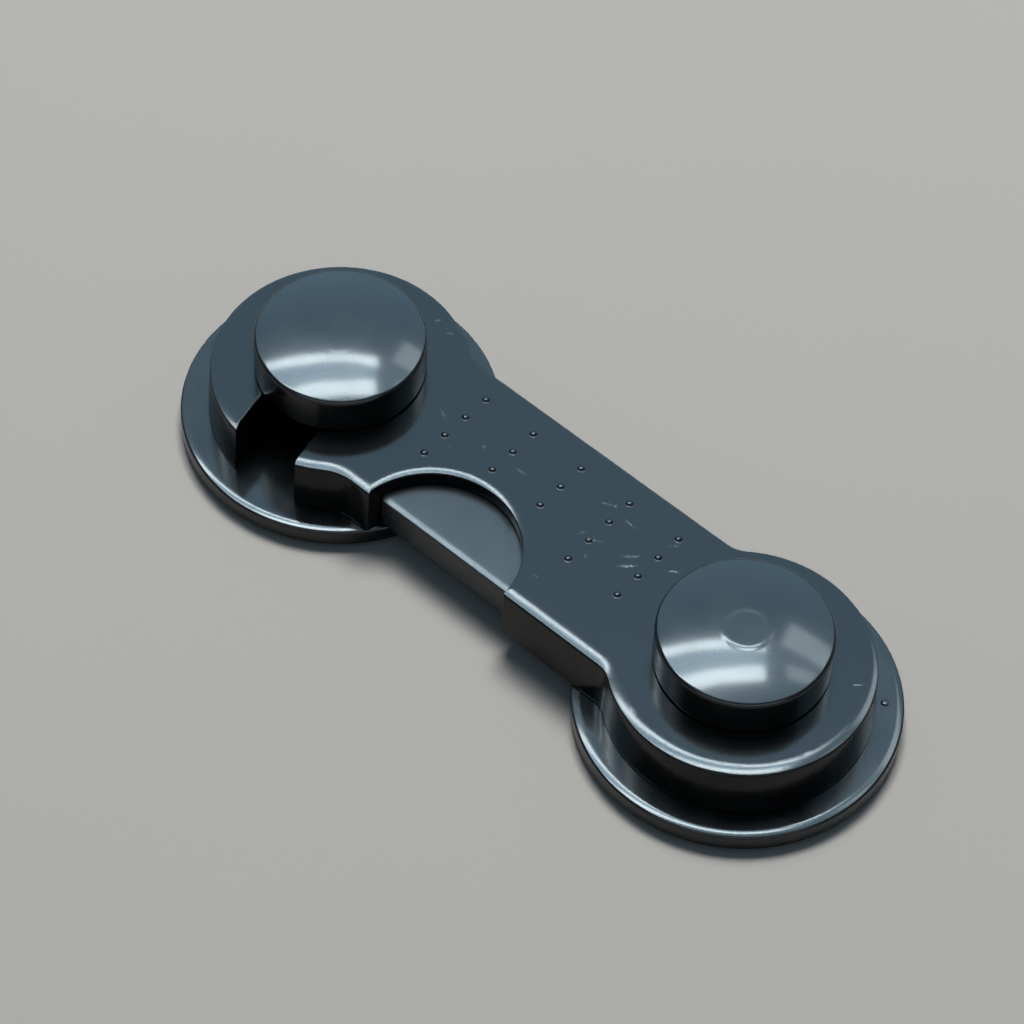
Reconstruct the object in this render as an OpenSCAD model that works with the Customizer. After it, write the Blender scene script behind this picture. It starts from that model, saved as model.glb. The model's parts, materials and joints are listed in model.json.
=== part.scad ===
// Cabinet safety lock: an arm swings on one disc and hooks a post on the other.
// X runs along the arm, the button and the hook's mouth face -Y, Z is up.
// The origin lies midway between the two posts, on the surface that the discs stick to.

/* [Overall] */
// Distance between the two post axes
post_spacing = 65; // [60:0.5:80]

/* [Mounting discs] */
// Diameter of each disc
disc_d = 40; // [36:0.5:50]
// Thickness of a disc above its pad
disc_t = 2.5; // [2.2:0.1:4]
// Rounding of a disc's upper edge
disc_edge_r = 0.9; // [0.3:0.1:1.5]
// Thickness of the adhesive foam pad
pad_t = 0.8; // [0.5:0.1:1.5]
// How far a pad stays inside its disc's edge
pad_inset = 0.5; // [0:0.1:2]

/* [Posts and knobs] */
// Diameter of the post that the arm turns on, and of the one it hooks
post_d = 8.2; // [8:0.1:8.4]
// Diameter of the spigot that plugs into the disc
spigot_d = 6; // [5:0.1:7]
// Length of the spigot
spigot_l = 0.8; // [0.6:0.1:1]
// Diameter of a knob
knob_d = 21.4; // [18:0.1:26]
// Height of a knob's straight skirt
knob_skirt_h = 5.2; // [3.5:0.1:7]
// Rise of the dome above the skirt
knob_dome_h = 1.6; // [0.6:0.1:3]
// Rounding between skirt and dome
knob_edge_r = 0.6; // [0.2:0.1:1]
// Wall thickness of a knob
knob_wall = 2; // [1.4:0.1:2.6]

/* [Arm] */
// Diameter of the round eye at each end
eye_d = 32.4; // [30:0.2:36]
// Width of the straight neck
neck_w = 24; // [20:0.2:26]
// Height of the arm's housing
arm_h = 7.95; // [7.3:0.05:11]
// Rounding of the arm's upper edge
arm_edge_r = 1.3; // [0.4:0.1:1.5]
// How much the outer walls spread from the top to the foot
arm_draft = 0.3; // [0:0.05:0.6]
// Thickness of the arm's roof
roof_t = 2.2; // [1.4:0.1:2.4]
// Thickness of the arm's walls
wall_t = 1.8; // [1.2:0.1:2.2]
// Radius of the hollow corners beside the hook's eye
hook_corner_r = 6; // [3:0.5:8]
// Radius of the hollow corners beside the pivot's eye
pivot_corner_r = 3.5; // [2:0.5:8]
// Wall thickness of the hub round the pivot post
hub_wall = 2.6; // [1.8:0.1:3.5]
// Thickness of the stiffening ribs
rib_t = 1.2; // [0.8:0.1:1.6]
// How far the stiffening ribs stay above the arm's foot
rib_rise = 1.5; // [0.5:0.1:3]

/* [Mouth of the hook] */
// Width of the mouth that lets the post in
mouth_w = 8.9; // [8.8:0.1:11]
// Rounding of the mouth's upper edges
lip_r = 0.3; // [0.1:0.05:0.5]

/* [Button] */
// Radius of the round window in the roof
window_r = 11; // [9:0.1:12]
// Place of the window's centre along the arm, from the middle
window_x = -5.6; // [-6.2:0.1:-4]
// How far the window's centre lies outside the front wall
window_out = 0.8; // [0.4:0.1:2]
// Rounding of the window's upper edge
window_edge_r = 0.85; // [0.2:0.05:1]
// How far the button's face stands back from the front wall
button_inset = 1.7; // [1.2:0.1:2.4]
// Thickness of the button's face
button_face_t = 1.5; // [1.2:0.1:2]
// Thickness of the button's pad
button_pad_t = 2.1; // [1.8:0.1:2.3]
// Rounding of the button's upper front edge
button_edge_r = 0.8; // [0.2:0.1:1]
// Travel of the button, and of the bolt that it draws
travel = 3; // [2.4:0.1:3.2]
// Width of the wings that stop the button behind the front wall
button_wing_w = 3.1; // [2.6:0.1:3.3]

/* [Latch] */
// Width of the bolt's head
bolt_w = 3.8; // [3:0.1:4]
// Reach of the bolt into the mouth
bolt_reach = 2.8; // [2:0.1:3]
// Width of the bolt's flat tail
bolt_tail_w = 3.6; // [3:0.1:4]
// Diameter of the pin that follows the button's cam groove
cam_pin_d = 2.4; // [1.8:0.1:2.6]
// Depth of the cam groove in the button's underside
cam_groove_h = 1.4; // [1.1:0.1:1.5]
// Outer diameter of the return spring
spring_d = 3.8; // [3.4:0.1:3.9]
// Diameter of the spring's wire
spring_wire = 0.5; // [0.4:0.05:0.55]
// Length of the spring with the button out
spring_l = 7; // [6.5:0.1:7.2]
// Number of the spring's turns
spring_turns = 6; // [4:1:6]

/* [Underplate] */
// Thickness of the plate that closes the mechanism
plate_t = 1; // [0.8:0.1:1.2]
// Diameter of the plate's countersunk screws
plate_screw_d = 1.8; // [1.4:0.1:2.2]
// Diameter of their heads
plate_screw_head_d = 3.4; // [2.8:0.1:4]
// Wall round each screw in the arm's bosses
boss_wall = 1.3; // [1:0.1:1.6]

/* [Mount screws] */
// Diameter of the screw that holds each knob
mount_screw_d = 2.8; // [2.4:0.1:3.2]
// Diameter of its head
mount_screw_head_d = 5.4; // [4.6:0.1:6]
// Height of its head
mount_screw_head_h = 0.8; // [0.6:0.1:1]
// Depth that it goes into the post
mount_screw_l = 7; // [5:0.5:9]

/* [Grip pips] */
// Diameter of a pip at the roof
pip_d = 1; // [0.4:0.1:1.2]
// Height of a pip
pip_h = 0.3; // [0.1:0.05:0.4]
// Spacing of the rows along the arm
pip_pitch_x = 7.8; // [6:0.1:9]
// Spacing of the pips in a row
pip_pitch_y = 3.75; // [3:0.05:4.5]
// Number of rows along the arm
pip_rows = 5; // [3:1:5]
// Number of pips in a full row
pip_columns = 4; // [2:1:4]
// Offset of the field of pips along the arm
pip_shift_x = 0.1; // [-2:0.1:2]
// Offset of the field of pips towards the back
pip_shift_y = 2.4; // [0:0.1:3]

/* [Fits] */
// Radial clearance of the arm on the pivot post
running_clear = 0.1; // [0.05:0.01:0.1]
// Gap beside pieces that slide
slide_clear = 0.3; // [0.2:0.05:0.4]
// Gap under and over the arm
arm_lift = 0.2; // [0.1:0.05:0.3]
// Gap of a seated piece
seat_clear = 0.1; // [0.05:0.01:0.2]

/* [Hidden] */

// Overrun of the cuts
cut = 1;
// Roundness of the true curves
$fn = 96;
// How far the hollow corners stand proud of the walls that they join
web_proud = 0.02;

// Places of the two post axes along X
pivot_x = post_spacing / 2;
catch_x = -post_spacing / 2;

// Levels, from the surface upwards
disc_top = pad_t + disc_t;
arm_foot = disc_top + arm_lift;
arm_top = arm_foot + arm_h;
roof_foot = arm_top - roof_t;
plate_top = arm_foot + plate_t;
knob_foot = arm_top + arm_lift;
knob_edge = knob_foot + knob_skirt_h;

// Radii and half widths
disc_r = disc_d / 2;
eye_r = eye_d / 2;
neck_half = neck_w / 2;
post_r = post_d / 2;
knob_r = knob_d / 2;
mouth_half = mouth_w / 2;
mouth_angle = 2 * asin(eye_r / post_spacing);
pivot_bore_r = post_r + running_clear;
hub_r = pivot_bore_r + hub_wall;

// Share of the travel that the button reaches behind its window
back_share = 0.6;
// Shares of the cam pin's diameter: its place along the bolt's tail, and the tail's end beyond it
pin_place_share = 1.6;
tail_end_share = 1.4;

// Centre of the button's round window
window_y = -neck_half - window_out;

// The button: its face, its pad, and the wings that stop it behind the front wall
button_y = -neck_half + button_inset;
button_foot = arm_foot + seat_clear * 2;
button_top = roof_foot - slide_clear - seat_clear;
pad_foot = button_top - button_pad_t;
wing_y = -neck_half + wall_t + slide_clear;
wing_left = window_x - window_r - button_wing_w + slide_clear;
wing_right = window_x + window_r + button_wing_w - slide_clear * 2;
button_back = window_y + window_r + travel * back_share;

// The bolt: its head lies just in front of the post, its tail under the button's pad
bolt_foot = plate_top + slide_clear;
bolt_back = -post_r - slide_clear + seat_clear;
bolt_front = bolt_back - bolt_w;
bolt_tip = mouth_side((bolt_front + bolt_back) / 2) - bolt_reach;
bolt_head_end = wing_left - travel - slide_clear;
bolt_head_top = roof_foot - slide_clear * 2;
bolt_bar_end = window_x - window_r - slide_clear - travel;
tail_front = button_y + button_face_t + travel + slide_clear * 2;
tail_back = tail_front + bolt_tail_w;
tail_y = (tail_front + tail_back) / 2;
tail_start = bolt_bar_end - bolt_tail_w / 2;
pin_x = bolt_bar_end + cam_pin_d * pin_place_share;
tail_end = pin_x + cam_pin_d * tail_end_share;
cam_pin_top = pad_foot + cam_groove_h - slide_clear;

// The spring pushes the button out from a rib under the roof
spring_x = window_x;
spring_z = (bolt_foot + button_top) / 2;
spring_r = spring_d / 2;
spring_start = button_back + seat_clear;
spring_seat = spring_start + spring_l + seat_clear;
spring_lug_half = spring_r + slide_clear;
spring_peg_d = spring_d - spring_wire * 2 - slide_clear * 2;
spring_peg_l = spring_l / 5;
spring_peg_root = button_face_t / 2;

// The bay for the mechanism ends at a cross rib
bay_end = wing_right + slide_clear + rib_t + plate_screw_head_d + boss_wall * 2;
screw_boss_r = plate_screw_d / 2 + boss_wall;
screw_inset = wall_t + screw_boss_r;
plate_screw_places = [[wing_left - slide_clear - rib_t, neck_half - screw_inset],
                      [bay_end - screw_boss_r, neck_half - screw_inset],
                      [bay_end - screw_boss_r, -neck_half + screw_inset]];
plate_screw_tip = roof_foot - rib_t;
plate_half = neck_half - wall_t - seat_clear;

// Spigots and screws in the mounts
spigot_foot = disc_top - spigot_l;
mount_head_foot = pad_t + seat_clear;
mount_head_r = mount_screw_head_d / 2;
mount_screw_r = mount_screw_d / 2;

// X of the mouth's wall on the button's side, at a given Y; the mouth is an arc round the pivot
function mouth_side(y) = pivot_x - sqrt(pow(post_spacing - mouth_half, 2) - y * y);

// Distance of a hollow corner's centre from the eye's axis, along X and Y
function corner_y(r) = neck_half + r;
function corner_x(r) = sqrt(pow(eye_r + r, 2) - pow(corner_y(r), 2));

// The four hollow corners: eye's X, side along X towards the neck, side along Y, radius
corners = [for (side = [-1, 1]) each [[catch_x, 1, side, hook_corner_r],
                                      [pivot_x, -1, side, pivot_corner_r]]];

// Outline of the arm seen from above, drawn in by inset
module arm_outline(inset) {
    for (x = [catch_x, pivot_x])
        translate([x, 0]) circle(r = eye_r - inset);
    translate([catch_x, -neck_half + inset]) square([post_spacing, neck_w - 2 * inset]);
    for (c = corners)
        difference() {
            corner_web(c);
            translate([c[0] + c[1] * corner_x(c[3]), c[2] * corner_y(c[3])])
                circle(r = c[3] + inset - web_proud);
        }
}

// Triangle between an eye's axis, the neck's middle and a hollow corner's centre
module corner_web(c) {
    polygon([[c[0], 0], [c[0] + c[1] * corner_x(c[3]), 0],
             [c[0] + c[1] * corner_x(c[3]), c[2] * corner_y(c[3])]]);
}

// Half section of the arm's outside: a spreading wall with a rounded upper edge
module wall_section(reach) {
    polygon([[0, arm_foot], [reach + arm_draft, arm_foot], [reach, arm_top - arm_edge_r],
             [0, arm_top - arm_edge_r]]);
    translate([0, arm_top - arm_edge_r]) square([reach - arm_edge_r, arm_edge_r]);
    intersection() {
        translate([reach - arm_edge_r, arm_top - arm_edge_r]) circle(r = arm_edge_r);
        translate([reach - arm_edge_r, arm_top - arm_edge_r]) square(arm_edge_r);
    }
}

// Half section of the space outside a hollow corner, the wall section's counterpart
module corner_section(r) {
    polygon([[0, arm_foot - cut], [r - arm_draft, arm_foot - cut], [r - arm_draft, arm_foot],
             [r, arm_top - arm_edge_r], [0, arm_top - arm_edge_r]]);
    difference() {
        translate([0, arm_top - arm_edge_r]) square([r + arm_edge_r, arm_edge_r + cut]);
        translate([r + arm_edge_r, arm_top - arm_edge_r]) circle(r = arm_edge_r);
    }
}

// The arm's outside, before it is hollowed and cut
module arm_outside() {
    for (x = [catch_x, pivot_x])
        translate([x, 0, 0]) rotate_extrude() wall_section(eye_r);
    translate([catch_x, 0, 0]) rotate([90, 0, 90]) linear_extrude(post_spacing) {
        wall_section(neck_half);
        mirror([1, 0]) wall_section(neck_half);
    }
    for (c = corners)
        difference() {
            translate([0, 0, arm_foot]) linear_extrude(arm_h) corner_web(c);
            translate([c[0] + c[1] * corner_x(c[3]), c[2] * corner_y(c[3]), 0])
                rotate_extrude() corner_section(c[3] - web_proud);
        }
}

// Band that follows the swing of the post through the mouth, drawn wider by grow
module mouth_band(grow) {
    intersection() {
        translate([pivot_x, 0]) difference() {
            circle(r = post_spacing + mouth_half + grow, $fn = 360);
            circle(r = post_spacing - mouth_half - grow, $fn = 360);
        }
        translate([catch_x - eye_r, -eye_r - cut]) square([eye_d, eye_r + cut]);
    }
    translate([catch_x, 0]) circle(r = mouth_half + grow);
}

// Half section of the mouth: straight walls that flare at the roof's rounded edge
module mouth_section(reach) {
    translate([0, arm_foot - cut]) square([reach, arm_h + 2 * cut]);
    difference() {
        translate([0, arm_top - lip_r]) square([reach + lip_r, lip_r + cut]);
        translate([reach + lip_r, arm_top - lip_r]) circle(r = lip_r);
    }
}

// The mouth: half a turn round the post, and the post's way out on an arc round the pivot
module mouth() {
    translate([catch_x, 0, 0]) rotate_extrude(angle = 180) mouth_section(mouth_half);
    translate([pivot_x, 0, 0]) rotate([0, 0, 180]) rotate_extrude(angle = mouth_angle)
        translate([post_spacing, 0]) {
            mouth_section(mouth_half);
            mirror([1, 0]) mouth_section(mouth_half);
        }
}

// Stiffening ribs inside both eyes
module eye_ribs() {
    translate([0, 0, arm_foot + rib_rise]) linear_extrude(arm_h) {
        for (a = [0 : 60 : 300])
            translate([pivot_x, 0]) rotate(a) translate([0, -rib_t / 2]) square([eye_r, rib_t]);
        for (a = [90 : 45 : 225])
            translate([catch_x, 0]) rotate(a) translate([0, -rib_t / 2]) square([eye_r, rib_t]);
    }
}

// Guides and seats of the mechanism, hanging from the roof
module bay_guides() {
    // Channel of the bolt's head
    translate([catch_x, bolt_front - slide_clear - rib_t, plate_top])
        cube([bolt_head_end - catch_x, rib_t, arm_h]);
    translate([catch_x, bolt_back + slide_clear, plate_top])
        cube([bolt_head_end - catch_x, rib_t, arm_h]);
    // Side guides of the button's wings
    translate([wing_left - slide_clear - rib_t, button_back - travel, pad_foot])
        cube([rib_t, travel * 2, arm_h]);
    translate([wing_right + slide_clear, -neck_half, plate_top])
        cube([rib_t, button_back + neck_half, arm_h]);
    // Seat of the spring
    translate([spring_x - spring_r - rib_t, spring_seat, plate_top + slide_clear])
        cube([spring_d + rib_t * 2, rib_t, arm_h]);
    // Bosses of the underplate's screws
    for (p = plate_screw_places)
        translate([p[0], p[1], plate_top]) cylinder(r = screw_boss_r, h = arm_h);
    // Cross rib at the bay's end
    translate([bay_end + slide_clear, -neck_half, arm_foot]) cube([rib_t, neck_w, arm_h]);
}

// Rounding of the window's upper edge
module window_rounding() {
    translate([window_x, window_y, arm_top - window_edge_r]) rotate_extrude() difference() {
        square([window_r + window_edge_r, window_edge_r + cut]);
        translate([window_r + window_edge_r, 0]) circle(r = window_edge_r);
    }
}

// Raised pips on the roof; those inside the window's rim are left out
module pips() {
    ball_r = (pow(pip_d / 2, 2) + pow(pip_h, 2)) / (2 * pip_h);
    for (i = [0 : pip_rows - 1], j = [0 : pip_columns - 1]) {
        x = pip_shift_x + (i - (pip_rows - 1) / 2) * pip_pitch_x;
        y = pip_shift_y + (j - (pip_columns - 1) / 2) * pip_pitch_y;
        if (norm([x - window_x, y - window_y]) > window_r + window_edge_r + pip_d)
            translate([x, y, arm_top + pip_h - ball_r]) sphere(r = ball_r, $fn = 32);
    }
}

module arm_shell() {
    color("#23262a") {
        difference() {
            arm_outside();
            difference() {
                translate([0, 0, arm_foot - cut]) linear_extrude(arm_h - roof_t + cut)
                    arm_outline(wall_t);
                translate([pivot_x, 0, arm_foot]) cylinder(r = hub_r, h = arm_h);
                translate([0, 0, arm_foot]) linear_extrude(arm_h) mouth_band(wall_t);
                eye_ribs();
                bay_guides();
            }
            // Mouth of the hook, and the pivot's bore
            mouth();
            translate([pivot_x, 0, arm_foot - cut]) cylinder(r = pivot_bore_r, h = arm_h + 2 * cut);
            // Passage of the bolt through the mouth's wall
            translate([catch_x, bolt_front - slide_clear, plate_top])
                cube([bolt_head_end - catch_x + travel, bolt_w + slide_clear * 2, roof_foot - plate_top]);
            // Window of the button, through the roof and the front wall
            translate([window_x, window_y, arm_foot - cut]) cylinder(r = window_r, h = arm_h + 2 * cut);
            window_rounding();
            // Pilot holes of the underplate's screws
            for (p = plate_screw_places)
                translate([p[0], p[1], arm_foot - cut])
                    cylinder(d = plate_screw_d + seat_clear, h = plate_screw_tip - arm_foot + cut);
        }
        pips();
    }
}

module arm_underplate() {
    color("#1d2023") difference() {
        translate([0, 0, arm_foot]) linear_extrude(plate_t) difference() {
            intersection() {
                translate([pivot_x, 0])
                    circle(r = post_spacing - mouth_half - wall_t - seat_clear, $fn = 360);
                translate([catch_x, -plate_half]) square([bay_end - catch_x, plate_half * 2]);
            }
            // Room for the button's face through its travel
            translate([window_x - window_r - slide_clear, -neck_w])
                square([window_r * 2 + slide_clear * 2, neck_w + tail_front - slide_clear]);
        }
        for (p = plate_screw_places)
            translate([p[0], p[1], arm_foot]) {
                cylinder(d = plate_screw_d + seat_clear, h = plate_t * 3, center = true);
                cylinder(d1 = plate_screw_head_d + seat_clear, d2 = plate_screw_d + seat_clear,
                         h = plate_t);
            }
    }
}

module underplate_screws() {
    color("silver") for (p = plate_screw_places)
        translate([p[0], p[1], arm_foot]) {
            cylinder(d1 = plate_screw_head_d, d2 = plate_screw_d, h = plate_t);
            cylinder(d = plate_screw_d, h = plate_screw_tip - arm_foot - seat_clear);
        }
}

// Groove of the cam: the pin runs along it at 45 degrees, so the bolt moves as far as the button
module cam_groove() {
    groove_r = cam_pin_d / 2 + seat_clear;
    translate([pin_x, tail_y, pad_foot - cut]) {
        cylinder(r = groove_r, h = cam_groove_h + cut);
        rotate(-45) translate([0, -groove_r, 0]) cube([travel * sqrt(2), groove_r * 2, cam_groove_h + cut]);
        translate([travel, -travel, 0]) cylinder(r = groove_r, h = cam_groove_h + cut);
    }
}

// Face and front lip of the button, in the width that the window leaves free
module button_front(depth) {
    intersection() {
        translate([window_x, window_y]) circle(r = window_r - slide_clear);
        translate([window_x - window_r, button_y]) square([window_r * 2, depth]);
    }
}

module release_button() {
    color("#25292e") {
        difference() {
            union() {
                translate([0, 0, button_foot]) linear_extrude(button_top - button_foot)
                    button_front(button_face_t);
                translate([0, 0, pad_foot]) linear_extrude(button_pad_t)
                    button_front(button_face_t * 2);
                translate([wing_left, wing_y, pad_foot])
                    cube([wing_right - wing_left, button_back - wing_y, button_pad_t]);
                translate([spring_x - spring_lug_half, button_back - button_face_t, bolt_foot])
                    cube([spring_lug_half * 2, button_face_t, button_top - bolt_foot]);
            }
            cam_groove();
            // Rounded upper front edge
            translate([window_x - window_r, button_y, button_top]) rotate([0, 90, 0])
                linear_extrude(window_r * 2) difference() {
                    translate([-cut, -cut]) square([button_edge_r + cut, button_edge_r + cut]);
                    translate([button_edge_r, button_edge_r]) circle(r = button_edge_r);
                }
        }
        translate([spring_x, button_back - spring_peg_root, spring_z]) rotate([-90, 0, 0])
            cylinder(d = spring_peg_d, h = spring_peg_l + spring_peg_root);
    }
}

// The bolt seen from above: its outer corner is ramped, so the post pushes it back on closing
module latch_bolt() {
    color("#2b2f34") {
        translate([0, 0, bolt_foot]) linear_extrude(bolt_head_top - bolt_foot)
            polygon([[bolt_head_end, bolt_back], [bolt_tip, bolt_back],
                     [bolt_tip, bolt_back - bolt_w / 4],
                     [bolt_tip + bolt_w * 3 / 4, bolt_front], [bolt_head_end, bolt_front]]);
        translate([0, 0, bolt_foot]) linear_extrude(pad_foot - slide_clear - bolt_foot)
            polygon([[bolt_head_end, bolt_back], [bolt_head_end, bolt_front],
                     [bolt_bar_end, bolt_front], [bolt_bar_end, tail_front],
                     [tail_end, tail_front], [tail_end, tail_back],
                     [tail_start, tail_back], [tail_start, bolt_back]]);
        translate([pin_x, tail_y, bolt_foot]) cylinder(d = cam_pin_d, h = cam_pin_top - bolt_foot);
    }
}

// Points of a ring of the spring's wire, and the sweep of those rings
spring_sides = 6;
spring_steps = 8;
spring_rings = spring_turns * spring_steps;
spring_coil_r = spring_r - spring_wire / 2;
spring_pitch = (spring_l - spring_wire) / spring_turns;
function coil_centre(i) = let (a = i * 360 / spring_steps)
    [spring_coil_r * cos(a), spring_wire / 2 + spring_pitch * i / spring_steps, spring_coil_r * sin(a)];
function coil_point(i, k) = let (a = i * 360 / spring_steps, b = k * 360 / spring_sides)
    coil_centre(i) + spring_wire / 2 * [cos(a) * cos(b), sin(b), sin(a) * cos(b)];

// Least gap between a turn and the next, measured on the wire's centre line
spring_gap = min([for (i = [0 : spring_steps], j = [0 : 0.25 : spring_steps])
    norm(coil_centre(i) - coil_centre(i + spring_steps / 2 + j))]) - spring_wire;
echo(spring_gap = spring_gap);

module latch_spring() {
    points = [for (i = [0 : spring_rings], k = [0 : spring_sides - 1]) coil_point(i, k)];
    last = spring_rings * spring_sides;
    faces = [for (i = [0 : spring_rings - 1], k = [0 : spring_sides - 1])
        let (a = i * spring_sides + k, b = i * spring_sides + (k + 1) % spring_sides)
            each [[a, b, b + spring_sides], [a, b + spring_sides, a + spring_sides]]];
    caps = [for (k = [1 : spring_sides - 2]) each [[0, k + 1, k], [last, last + k, last + k + 1]]];
    color("silver") translate([spring_x, spring_start, spring_z])
        polyhedron(points, concat(faces, caps));
}

// A disc with a socket for the spigot and a recess for the screw's head
module base(x) {
    color("#202327") translate([x, 0, 0]) rotate_extrude() difference() {
        union() {
            translate([0, pad_t]) square([disc_r, disc_t - disc_edge_r]);
            translate([0, pad_t]) square([disc_r - disc_edge_r, disc_t]);
            translate([disc_r - disc_edge_r, disc_top - disc_edge_r]) circle(r = disc_edge_r);
        }
        translate([0, spigot_foot - seat_clear]) square([spigot_d / 2 + seat_clear, disc_t]);
        translate([0, pad_t - cut]) square([mount_screw_r + seat_clear, disc_t + cut * 2]);
        translate([0, pad_t - cut])
            square([mount_head_r + seat_clear, mount_screw_head_h + seat_clear * 2 + cut]);
    }
}

// Dome of a knob: an arc from the apex, met by the edge rounding without a corner
dome_r = (pow(knob_r, 2) + pow(knob_dome_h, 2)) / (2 * knob_dome_h);
dome_centre_z = knob_edge + knob_dome_h - dome_r;
rounding_x = knob_r - knob_edge_r;
rounding_z = dome_centre_z + sqrt(pow(dome_r - knob_edge_r, 2) - pow(rounding_x, 2));
tangent_x = rounding_x * dome_r / (dome_r - knob_edge_r);

module knob(x) {
    color("#1b1e21") translate([x, 0, 0]) rotate_extrude() difference() {
        union() {
            translate([0, knob_foot]) square([knob_r, rounding_z - knob_foot]);
            translate([rounding_x, rounding_z]) circle(r = knob_edge_r);
            intersection() {
                translate([0, dome_centre_z]) circle(r = dome_r, $fn = 360);
                translate([0, knob_foot]) square([tangent_x, knob_skirt_h + knob_dome_h]);
            }
            translate([0, disc_top]) square([post_r, knob_foot - disc_top]);
            translate([0, spigot_foot]) square([spigot_d / 2, disc_top - spigot_foot]);
        }
        // Hollow between the post and the skirt, open below
        translate([post_r, knob_foot - cut])
            square([knob_r - knob_wall - post_r, knob_skirt_h - knob_wall + cut]);
        // Pilot hole of the screw
        translate([0, spigot_foot - cut])
            square([mount_screw_r + seat_clear / 2, mount_screw_l + seat_clear + cut]);
    }
}

module mount_screw(x) {
    color("silver") translate([x, 0, 0]) {
        translate([0, 0, mount_head_foot]) cylinder(r = mount_head_r, h = mount_screw_head_h);
        translate([0, 0, mount_head_foot])
            cylinder(r = mount_screw_r, h = spigot_foot + mount_screw_l - mount_head_foot);
    }
}

module pad(x) {
    color("#3a3d40") translate([x, 0, 0]) cylinder(r = disc_r - pad_inset, h = pad_t);
}

module pivot_base() { base(pivot_x); }
module pivot_knob() { knob(pivot_x); }
module pivot_screw() { mount_screw(pivot_x); }
module pivot_pad() { pad(pivot_x); }
module catch_base() { base(catch_x); }
module catch_knob() { knob(catch_x); }
module catch_screw() { mount_screw(catch_x); }
module catch_pad() { pad(catch_x); }

arm_shell();
arm_underplate();
underplate_screws();
release_button();
latch_bolt();
latch_spring();
pivot_base();
pivot_knob();
pivot_screw();
pivot_pad();
catch_base();
catch_knob();
catch_screw();
catch_pad();
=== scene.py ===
"""Cabinet safety lock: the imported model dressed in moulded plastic, foam and steel, on a pale floor."""

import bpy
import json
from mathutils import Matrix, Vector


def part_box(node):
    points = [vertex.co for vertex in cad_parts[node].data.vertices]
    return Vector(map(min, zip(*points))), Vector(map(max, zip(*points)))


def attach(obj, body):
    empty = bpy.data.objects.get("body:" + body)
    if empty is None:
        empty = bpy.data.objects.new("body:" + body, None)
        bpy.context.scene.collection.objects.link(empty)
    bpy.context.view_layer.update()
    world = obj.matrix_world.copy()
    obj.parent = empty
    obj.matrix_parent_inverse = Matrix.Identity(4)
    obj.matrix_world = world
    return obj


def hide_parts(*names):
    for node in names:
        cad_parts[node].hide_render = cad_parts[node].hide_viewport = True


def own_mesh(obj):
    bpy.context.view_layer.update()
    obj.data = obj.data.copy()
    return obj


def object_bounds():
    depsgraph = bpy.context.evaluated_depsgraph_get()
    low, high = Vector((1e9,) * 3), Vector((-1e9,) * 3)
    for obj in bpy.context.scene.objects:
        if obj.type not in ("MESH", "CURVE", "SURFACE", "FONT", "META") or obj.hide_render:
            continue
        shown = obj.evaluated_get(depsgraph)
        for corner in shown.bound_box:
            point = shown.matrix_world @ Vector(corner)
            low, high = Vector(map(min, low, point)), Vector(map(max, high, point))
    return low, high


bl_info = {
    "name": "Cabinet Safety Lock",
    "version": (1, 1, 0),
    "blender": (4, 5, 0),
    "location": "3D View > Sidebar > Safety Lock",
    "description": "Dresses the cabinet safety lock and sets up its floor, lights and camera",
    "category": "Object",
}

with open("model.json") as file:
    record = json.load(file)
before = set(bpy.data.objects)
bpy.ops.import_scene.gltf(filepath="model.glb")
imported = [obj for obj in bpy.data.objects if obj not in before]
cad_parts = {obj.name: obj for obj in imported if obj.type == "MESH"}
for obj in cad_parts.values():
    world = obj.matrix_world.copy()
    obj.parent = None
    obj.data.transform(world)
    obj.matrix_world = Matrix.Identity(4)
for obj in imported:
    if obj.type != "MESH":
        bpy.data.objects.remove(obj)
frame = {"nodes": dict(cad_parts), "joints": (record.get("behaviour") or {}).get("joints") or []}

import json

import bpy
import numpy as np
from bpy.props import FloatProperty, FloatVectorProperty, IntProperty, PointerProperty
from mathutils import Matrix, Vector

CAD_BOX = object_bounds()

# A millimetre, and a length that counts as none, in metres
MM, TINY = 0.001, 1e-9

# Corners of the pieces made here, from the sharpest to the softest, in metres
KEEN, FINE, BLUNT, SOFT, HOLLOW = 0.05 * MM, 0.1 * MM, 0.15 * MM, 0.2 * MM, 0.5 * MM

# Moulded plastic: the cells of its patterns and the depths of its reliefs, in metres
DRIFT_CELL, DUST_CELL, SPARK_CELL, WAVE_CELL, WEAR_CELL = 6 * MM, 0.35 * MM, 0.16 * MM, 7 * MM, 0.5 * MM
WAVE_DEPTH, SPARK_DEPTH = 0.03 * MM, 0.02 * MM

# How far its colour, its dull share's roughness and its clear share drift, and what upright walls keep of the last
COLOUR_DRIFT, ROUGH_DRIFT, CLEAR_DRIFT = 0.25, 0.30, 0.12
UPRIGHT_CLEAR = 0.4
PLASTIC_IOR = 1.46

# Its dust, and what a scuff of full strength does to colour, roughness and relief; a scuff's pale colour is partly
# real wear and partly a painted highlight
DUST_COLOUR, DUST_SHARE = (0.35, 0.36, 0.38), 0.02
SCUFF_AND_GLINT_COLOUR, SCUFF_AND_GLINT_SHARE, WEAR_ROUGH, WEAR_HEIGHT = (0.42, 0.52, 0.58), 0.14, 0.2, 0.6

# Points along the curves: a knob's dome and its edge, and a screw's thread and its face
DOME_POINTS, EDGE_POINTS, THREAD_POINTS, FACE_POINTS = 110, 14, 90, 44

# How much of the sink mark shows on each knob
SINKS = {"pivot_knob": 1.0, "catch_knob": 0.08}

# Middle of the moulding pip from the pivot, its rise and how deep its foot lies in the disc, in metres
GATE_PLACE = np.array([13.5, 11.3]) * MM
GATE_RISE, GATE_FOOT = 0.2 * MM, 0.1 * MM

# A pad: how far its side bulges, and how far in from the side its faces are level, in metres
PAD_BULGE, PAD_EDGE = 0.18 * MM, 0.4 * MM

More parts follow.
